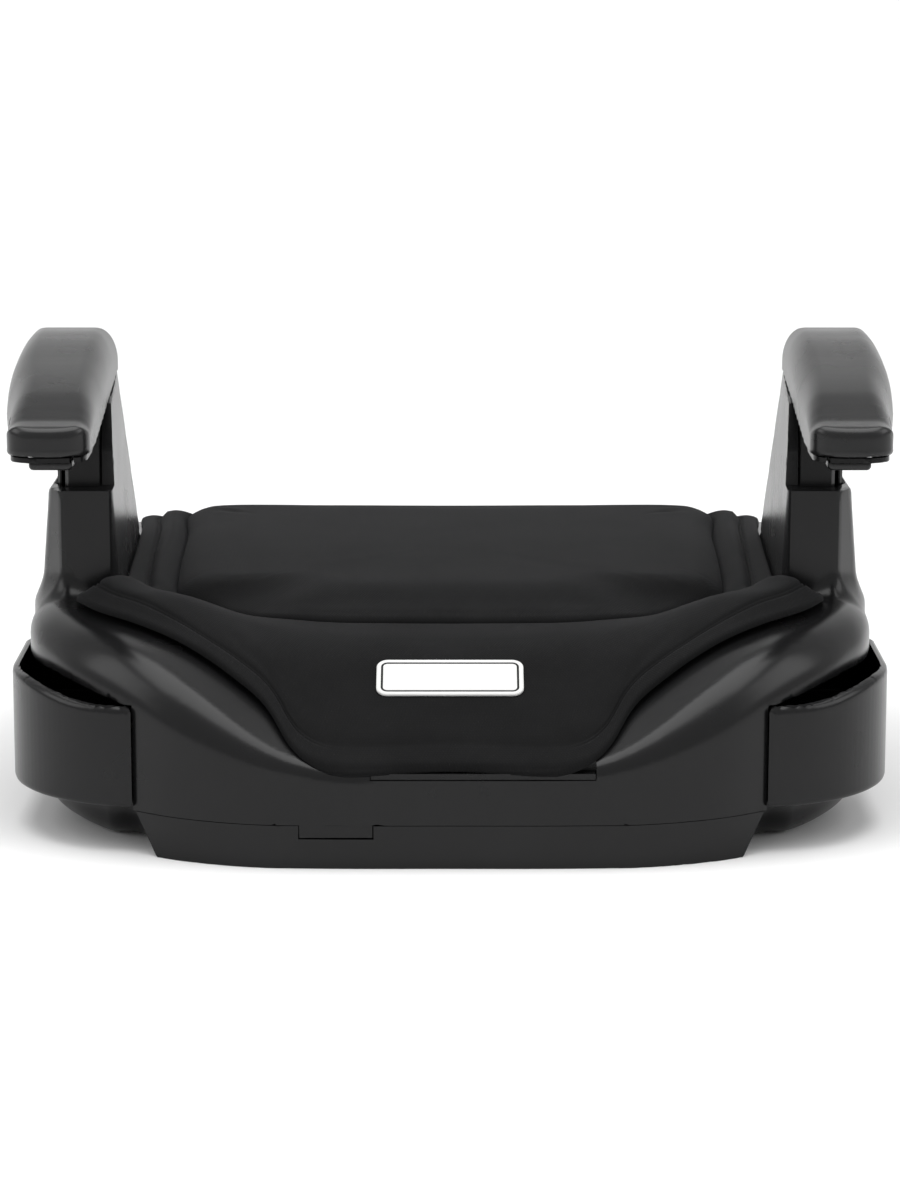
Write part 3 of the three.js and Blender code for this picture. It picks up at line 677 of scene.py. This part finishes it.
def corner_rounded(side, top, wide, tall):
    """What lies inside a side face and under a top, the edge between them an elliptical rounding."""
    across, up = side / wide + 1, top / tall + 1
    inside = np.minimum(np.maximum(across, up), 0)
    return (inside + np.hypot(np.maximum(across, 0), np.maximum(up, 0)) - 1) * wide


def arm_body(x, y, z, inset=0.0):
    """The cover's outside: each side rounded over into the top, less so round the tip."""
    top = (z - along(ARM_TOP_PROFILE, y)) * 0.98 + inset
    tip = smoothstep(y, -80, -146)
    inner = corner_rounded(x - ARM_INNER_X + inset, top, blend_of(10.0, 7.0, tip), blend_of(17.0, 6.0, tip))
    outer_side = arm_outer_x(y) - x + inset
    outer = corner_rounded(outer_side, top, blend_of(14.0, 8.0, tip), blend_of(27.0, 6.0, tip))
    nose = both_rounded(polygon_distance(x, y, ARM_TIP) + inset, top, 3.0)
    rear = corner_rounded(y - ARM_REAR_Y + inset, top, 13.0, 19.0)
    return np.maximum.reduce([inner, outer, nose, rear])


def arm_cover_sdf(x, y, z):
    bottom = np.maximum(seam_z(y), 174.4) + 0.2 - z
    return np.maximum(both_rounded(arm_body(x, y, z), bottom, 1.0), -arm_body(x, y, z, ARM_WALL))


def arm_frame_sdf(x, y, z):
    """The underside with a rim that shows below the cover, and the hollow leg that runs into the tower."""
    over_seam, seam = z - seam_z(y), np.maximum(seam_z(y), 174.4)
    outline = np.maximum(polygon_distance(x, y, ARM_TIP), arm_outer_x(y) - x)
    rim = both_rounded(outline + 1.5, np.maximum(seam - 2.9 - z, z - seam + 0.3), 0.6)
    rim = np.maximum(np.maximum(rim, -outline - 6.0), y + 63)
    plate = box_distance(x, y, z, (-194.2, -132, 100), (-163.6, -6, 220))
    plate = np.maximum(plate, np.abs(over_seam - 2.5) - 1.5)
    ears = np.minimum(
        box_distance(x, y, z, (-190.6, -143, 172.6), (-188, -118, 182), 0.3),
        box_distance(x, y, z, (-167, -143, 172.6), (-164.4, -118, 182), 0.3),
    )
    leg = both_rounded(polygon_distance(x, y, NECK), np.maximum(80 - z, z - seam_z(y) - 2), 1.2)
    leg = np.maximum(leg, -np.maximum(polygon_distance(x, y, LEG_HOLLOW), z - seam_z(y) + 3))
    window = box_distance(x, y, z, (-176, -70, 83), (-169, -60, 95))
    pulling_room = box_distance(x, y, z, (-176, -70, 100), (-169, -40, 210))
    trigger_room = box_distance(x, y, z, (-188, -146.4, 150), (-167, -117, 200), 1.0)
    under = np.minimum.reduce([np.maximum(np.minimum(rim, plate), -trigger_room), ears, leg])
    return np.maximum(np.maximum(under, -window), -np.maximum(pulling_room, np.abs(over_seam) - 12))


def build_armrests():
    xs, ys = axis_steps((-208.5, -158.5, 1.35)), axis_steps((-152, -128, 1.1), (-128, 5.5, 1.7))
    cover = contoured(arm_cover_sdf, (xs, ys, axis_steps((172.5, 216.5, 1.35))))
    xs, ys = axis_steps((-206, -160, 1.3)), axis_steps((-150.5, -116, 1.2), (-116, -4, 1.6))
    frame_shape = contoured(arm_frame_sdf, (xs, ys, axis_steps((78.5, 150, 3.2), (150, 199, 1.2))))
    for side, sign in SIDES.items():
        mesh_piece(
            f"armrest_cover_moulding_{side}", *mirrored(*cover, sign), f"armrest_{side}",
            "arm_plastic", FINISHES["arm_plastic"], [f"armrest_cover_{side}"], 40,
        )
        # The frames get the darker inner_plastic, which paints in the shade beneath the covers
        mesh_piece(
            f"armrest_frame_moulding_{side}", *mirrored(*frame_shape, sign), f"armrest_{side}",
            "inner_plastic", FINISHES["inner_plastic"], [f"armrest_frame_{side}"], 32,
        )


def trigger_sdf(x, y, z):
    """The squeeze lever: a rounded pad under the tip, its arm and the bore for its pin."""
    pad = box_distance(x, y, z, (-187.2, -145.6, 167.8), (-167.8, -119.5, 172.4), 2.0)
    arm = box_distance(x, y, z, (-186.6, -127.4, 170.5), (-168.4, -120.8, 179.4), 1.0)
    rod = box_distance(x, y, z, (-176, -126.2, 176), (-169.4, -122.2, 187), 0.8)
    body = either_filleted(pad, arm, 1.5)
    body = np.minimum(body, rod)
    bore = np.hypot(y + 124, z - 175.5) - 1.8
    return np.maximum(body, -bore)


def build_triggers():
    spans = (-188.5, -166.5, 0.7), (-149, -118, 0.7), (166.8, 188.4, 0.7)
    verts, faces = contoured(trigger_sdf, [axis_steps(span) for span in spans])
    for side, sign in SIDES.items():
        shape = mirrored(verts, faces, sign)
        mesh_piece(
            f"squeeze_trigger_{side}", *shape, f"squeeze_lever_{side}", "arm_plastic",
            FINISHES["arm_plastic"], [f"trigger_{side}"], 40,
        )


# ---------------------------------------------------------------- seat pad

PER_SPAN = 8
PAD_EDGE = closed_curve(HALF_PAD, PER_SPAN)
PANEL_SEAM = closed_curve(HALF_PANEL, PER_SPAN)


def pad_rest(x, y):
    """Height of the surface the pad lies on, with the shell's rounded edge followed down."""
    depth = -outline_distance(x, y)
    radius = edge_rounding(x, y)
    t = 1 - clamp(depth / radius)
    return shell_top(x, y) - radius * (1 - np.sqrt(np.maximum(1 - t * t, 0)))


HEM_PLACES = [
    0, 0.3, 0.9, 1.8, 3.6, 6.2, 8.6, 9.7, 10.2, 10.6, 11.0, 11.5, 12.1, 12.5, 12.9, 13.5, 14.6, 16.4, 19.0,
]
SOFT_PLACES = [0.04, 0.1, 0.18, 0.28, 0.38, 0.48, 0.58, 0.68, 0.78, 0.86, 0.92, 0.955, 0.98, 1.0]


def hem_rings(width, hem):
    """Distances in from the pad's edge, dense at the hem's edge and at its two seam lines."""
    edge = np.array(HEM_PLACES)[:, None] * (hem / HEM_WIDTH)[None, :]
    return np.concatenate([edge, edge[-1] + np.array(SOFT_PLACES)[:, None] * (width - edge[-1])])


def pad_thickness(depth, width, hem, under_front):
    """A flat hem with two sunk seam lines, then padding that is fuller where the pad is narrow."""
    roll = np.sqrt(np.maximum(1 - (1 - clamp(depth / (hem * 0.14))) ** 2, 0))
    inner = clamp((depth - hem) / (width - hem))
    lines = sum(np.exp(-(((depth - seam * hem) / (0.05 * hem)) ** 2)) for seam in (0.85, 1.0))
    narrow = smoothstep(width, 60, 22)
    full = blend_of(1.4, 3.6, narrow) * np.maximum(np.sin(math.pi * inner), 0) ** 0.7
    filled = np.where(depth > hem, 2.4 * smoothstep(depth - hem, 0, 0.3 * (width - hem)) + full, 0)
    crease = 1.6 * smoothstep(depth, width - 2.2, width)
    filled = filled * (1 - 0.4 * under_front * (1 - inner))
    return blend_of(0.9, 3.4, roll) + filled - lines * (1 - under_front) - crease


def build_pad():
    across = PANEL_SEAM - PAD_EDGE
    width = np.linalg.norm(across, axis=1)
    hem = np.minimum(HEM_WIDTH, 0.42 * width)
    aside, forward = np.abs(PAD_EDGE[:, 0]), -PAD_EDGE[:, 1]
    under_front = (1 - smoothstep(aside, 52, 72)) * (forward > 0)
    off_shell = HEM_OFF_SHELL * smoothstep(aside, 64, 90) * smoothstep(forward, 84, 104)
    wing = smoothstep(aside, 104, 152) * smoothstep(forward, 72, 96)
    rings, pins = [], []
    for depth in hem_rings(width, hem):
        x, y = (PAD_EDGE + across * (depth / width)[:, None]).T
        z = pad_rest(x, y) + pad_thickness(depth, width, hem, under_front)
        z += WING_FULLNESS * wing * smoothstep(depth, 1, 17) * (1 - smoothstep(depth / width, 0.35, 0.95))
        z += off_shell * (1 - smoothstep(depth, 6, 34))
        z = np.maximum(z, HEM_FRONT_Z * under_front)
        rings.append(np.column_stack([x, y, z]))
        pins.append(np.where((depth < hem * 1.15) | (depth > width * 0.985), 1.0, 0.0))
    tuck = rings[-1] + (0, 0, -3.0)
    tuck[:, :2] += (PANEL_SEAM.mean(0) - tuck[:, :2]) * 0.03
    rings.append(tuck)
    for share in (0.97, 0.6, 0.25, 0.0):
        x, y = (PAD_EDGE + across * share).T
        rings.append(np.column_stack([x, y, pad_rest(x, y) + 0.5 + off_shell * (share == 0.0)]))
    pins += [np.ones(len(PAD_EDGE))] * 5
    count = len(PAD_EDGE)
    faces = ring_faces(len(rings), count)
    last = (len(rings) - 1) * count
    faces += [[last + i, last + (i + 1) % count, (i + 1) % count, i] for i in range(count)]
    pad = mesh_piece(
        "seat_pad_cover", np.concatenate(rings), [f[::-1] for f in faces], "base", "seat_fabric",
        FINISHES["seat_fabric"], ["seat_pad"], 0,
    )
    return pad, np.concatenate(pins)


def build_panel():
    """The raised middle of the seat, sewn in along its edge."""
    centre = np.array([0.0, 55.0])
    reach = np.linalg.norm(PANEL_SEAM - centre, axis=1)
    flank = np.maximum(smoothstep(np.abs(PANEL_SEAM[:, 0]), 100, 130), smoothstep(PANEL_SEAM[:, 1], 110, 170))
    rings, pins = [], []
    for share in (0.5, 0.0):
        x, y = (PANEL_SEAM + (centre - PANEL_SEAM) * share).T
        rings.append(np.column_stack([x, y, pad_rest(x, y) + 0.8]))
        pins.append(np.ones(len(x)))
    for depth in (0.0, 0.4, 1.0, 2.0, 3.4, 5.2, 7.5, 10, 13.5, 18, 24, 31, 39, 48, 58, 69, 81):
        share = np.minimum(depth / reach, 0.96)
        x, y = (PANEL_SEAM + (centre - PANEL_SEAM) * share[:, None]).T
        rounding = np.sqrt(np.maximum(1 - (1 - clamp(depth / blend_of(4.0, 6.5, flank))) ** 2, 0))
        climb = smoothstep(depth, -6, blend_of(46.0, 13.0, flank))
        level = blend_of(pad_rest(x, y), pad_rest(clamp(x, -100, 100), y), smoothstep(depth, 0, 12))
        z = level + 4.2 + blend_of(3.4, 5.4, flank) * rounding + blend_of(9.6, 7.9, flank) * climb
        rings.append(np.column_stack([x, y, z]))
        pins.append(np.full(len(x), 1.0 if depth < 2.5 else 0.0))
    low = pad_rest(*centre[:, None])[0] + 0.8
    ends = np.array([[*centre, low], [*centre, rings[-1][:, 2].mean() + 0.3]])
    faces = ring_faces(len(rings), len(PANEL_SEAM), start_cap=True, end_cap=True)
    panel = mesh_piece(
        "seat_cushion_panel", np.concatenate([*rings, ends]), [f[::-1] for f in faces], "base", "seat_fabric",
        FINISHES["seat_fabric"], ["seat_cushion"], 0,
    )
    return panel, np.concatenate([*pins, [1.0, 0.0]])


def puff_up(piece, pins, pressure, cap, frames=18):
    """Blows a closed piece up as cloth between its pinned seams, with the result kept in its mesh.

    Points may only rise, and by no more than the cap in millimetres.
    """
    mesh = piece.data
    count = len(mesh.vertices)
    rest = np.empty(count * 3)
    mesh.vertices.foreach_get("co", rest)
    rest = rest.reshape(-1, 3)
    group = piece.vertex_groups.new(name="pins")
    for level in range(1, 11):
        chosen = np.nonzero(np.round(np.asarray(pins) * 10) == level)[0].tolist()
        group.add(chosen, level / 10, "REPLACE")
    cloth = piece.modifiers.new("cloth", "CLOTH")
    settings = cloth.settings
    settings.quality = 5
    settings.mass = 0.25
    settings.tension_stiffness = 12
    settings.compression_stiffness = 12
    settings.shear_stiffness = 6
    settings.bending_stiffness = 1.5
    settings.use_pressure = True
    settings.uniform_pressure_force = pressure
    settings.vertex_group_mass = group.name
    settings.pin_stiffness = 3
    settings.effector_weights.gravity = 0
    cloth.collision_settings.use_collision = False
    cloth.point_cache.frame_start, cloth.point_cache.frame_end = 1, frames
    scene = bpy.context.scene
    for step in range(1, frames + 1):
        scene.frame_set(step)
        settled = piece.evaluated_get(bpy.context.evaluated_depsgraph_get())
        now = np.empty(count * 3)
        settled.data.vertices.foreach_get("co", now)
    piece.modifiers.remove(cloth)
    piece.vertex_groups.clear()
    scene.frame_set(1)
    move = now.reshape(-1, 3) - rest
    move[:, 2] = np.maximum(move[:, 2], 0)
    length = np.linalg.norm(move, axis=1, keepdims=True)
    move *= np.minimum(1, cap * MM / np.maximum(length, 1e-12))
    move *= (1 - clamp(np.asarray(pins)))[:, None]
    mesh.vertices.foreach_set("co", (rest + move).ravel())
    mesh.update()
    print("puffed", piece.name, "most moved before the cap, mm", round(float(length.max()) / MM, 2))


# The label's section from its edge inwards: distance in and height
LABEL_SECTION = [
    (0.0, -0.4), (0.0, 0.35), (0.4, 0.75), (1.6, 0.8), (2.0, 0.6), (3.0, 0.6), (3.4, 0.8), (6.0, 0.85),
]
LABEL_BORDER_RING = 4


def build_label():
    """A blank woven plate, sewn on the sloping front, with a dark thread border set in from its edge."""
    low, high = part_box("label")
    centre = (np.array(low) + np.array(high)) / 2 / MM
    slope = math.atan2(12.3, 23)
    half_w, half_h, corner = 33.0, 12.0, 5.0
    rings = []
    for inset, lift in LABEL_SECTION:
        w, h = half_w - inset, half_h - inset
        radius = max(corner - inset, 1.2)
        ring = []
        for quarter in range(4):
            cx = (w - radius) * (1, -1, -1, 1)[quarter]
            cy = (h - radius) * (1, 1, -1, -1)[quarter]
            for turn in np.radians(np.linspace(90 * quarter, 90 * quarter + 90, 9)):
                ring.append((cx + radius * math.cos(turn), cy + radius * math.sin(turn), lift))
        rings.append(ring)
    flat = np.array([p for ring in rings for p in ring] + [(0, 0, 0.85), (0, 0, -0.4)])
    count = len(rings[0])
    faces = ring_faces(len(rings), count)
    last = (len(rings) - 1) * count
    faces += [[len(flat) - 2, last + i, last + (i + 1) % count] for i in range(count)]
    faces += [[len(flat) - 1, (i + 1) % count, i] for i in range(count)]
    x, y, z = flat.T
    verts = np.column_stack([
        x,
        centre[1] + y * math.cos(slope) - z * math.sin(slope),
        centre[2] + y * math.sin(slope) + z * math.cos(slope),
    ])
    plate = mesh_piece("blank_label", verts, faces, "base", "label_print", LABEL_WHITE, ["label"], 0)
    plate.data.materials.append(LABEL_BORDER)
    first = LABEL_BORDER_RING * count
    for polygon in plate.data.polygons:
        if first <= polygon.index < first + count:
            polygon.material_index = 1


# ---------------------------------------------------------------- stage


def build_stage():
    """A pale floor that curves up into a backdrop."""
    profile = [(-3.2, 0.0), (1.2, 0.0)]
    radius = 0.9
    for turn in np.radians(np.linspace(0, 90, 14)):
        profile.append((1.2 + radius * math.sin(turn), radius * (1 - math.cos(turn))))
    profile.append((2.1, 3.4))
    verts, faces = [], []
    for y, z in profile:
        verts += [(-3.5, y, z), (3.5, y, z)]
    for i in range(len(profile) - 1):
        faces.append((2 * i, 2 * i + 1, 2 * i + 3, 2 * i + 2))
    mesh = bpy.data.meshes.new("floor")
    mesh.from_pydata(verts, [], faces)
    for polygon in mesh.polygons:
        polygon.use_smooth = True
    floor = bpy.data.objects.new("floor", mesh)
    bpy.context.scene.collection.objects.link(floor)
    material, tree, shader = new_material("pale_paper", Roughness=0.9, Specular_IOR_Level=0.2)
    colour = ramp(tree, noise(tree, 3, 2), (0.84, 0.84, 0.84), (0.87, 0.87, 0.87))
    tree.links.new(colour, shader.inputs["Base Color"])
    mesh.materials.append(material)


def soft_light(name, place, target, size, power):
    data = bpy.data.lights.new(name, "AREA")
    data.shape = "RECTANGLE"
    data.size, data.size_y = size
    data.energy = power
    light = bpy.data.objects.new(name, data)
    light.location = place
    light.rotation_mode = "QUATERNION"
    light.rotation_quaternion = (Vector(target) - Vector(place)).to_track_quat("-Z", "Y")
    bpy.context.scene.collection.objects.link(light)


def build_lights():
    world = bpy.data.worlds.new("studio")
    world.use_nodes = True
    world.node_tree.nodes["Background"].inputs["Color"].default_value = (1, 1, 1, 1)
    world.node_tree.nodes["Background"].inputs["Strength"].default_value = 0.62
    bpy.context.scene.world = world
    soft_light("top", (0, -0.1, 2.2), (0, 0, 0), (2.2, 1.8), 40)
    soft_light("left", (-1.8, -0.5, 1.3), (0, 0, 0.1), (1.2, 1.4), 12)
    soft_light("right", (1.8, -0.5, 1.3), (0, 0, 0.1), (1.2, 1.4), 12)
    bpy.context.scene.view_settings.view_transform = "Standard"


def build_camera():
    data = bpy.data.cameras.new("camera")
    data.lens = CAMERA_LENS
    data.sensor_width = 36
    camera = bpy.data.objects.new("camera", data)
    camera.location = CAMERA_PLACE
    camera.rotation_euler = (math.radians(90 - CAMERA_TILT_DOWN), 0, 0)
    bpy.context.scene.collection.objects.link(camera)
    bpy.context.scene.camera = camera


build_camera()
build_lights()
build_stage()
build_upper_shell()
build_lower_tray()
build_cup_holders()
build_armrests()
build_triggers()
build_label()
pad, pad_pins = build_pad()
panel, panel_pins = build_panel()
puff_up(pad, pad_pins, PAD_PRESSURE, PUFF_CAP)
puff_up(panel, panel_pins, PANEL_PRESSURE, PUFF_CAP)
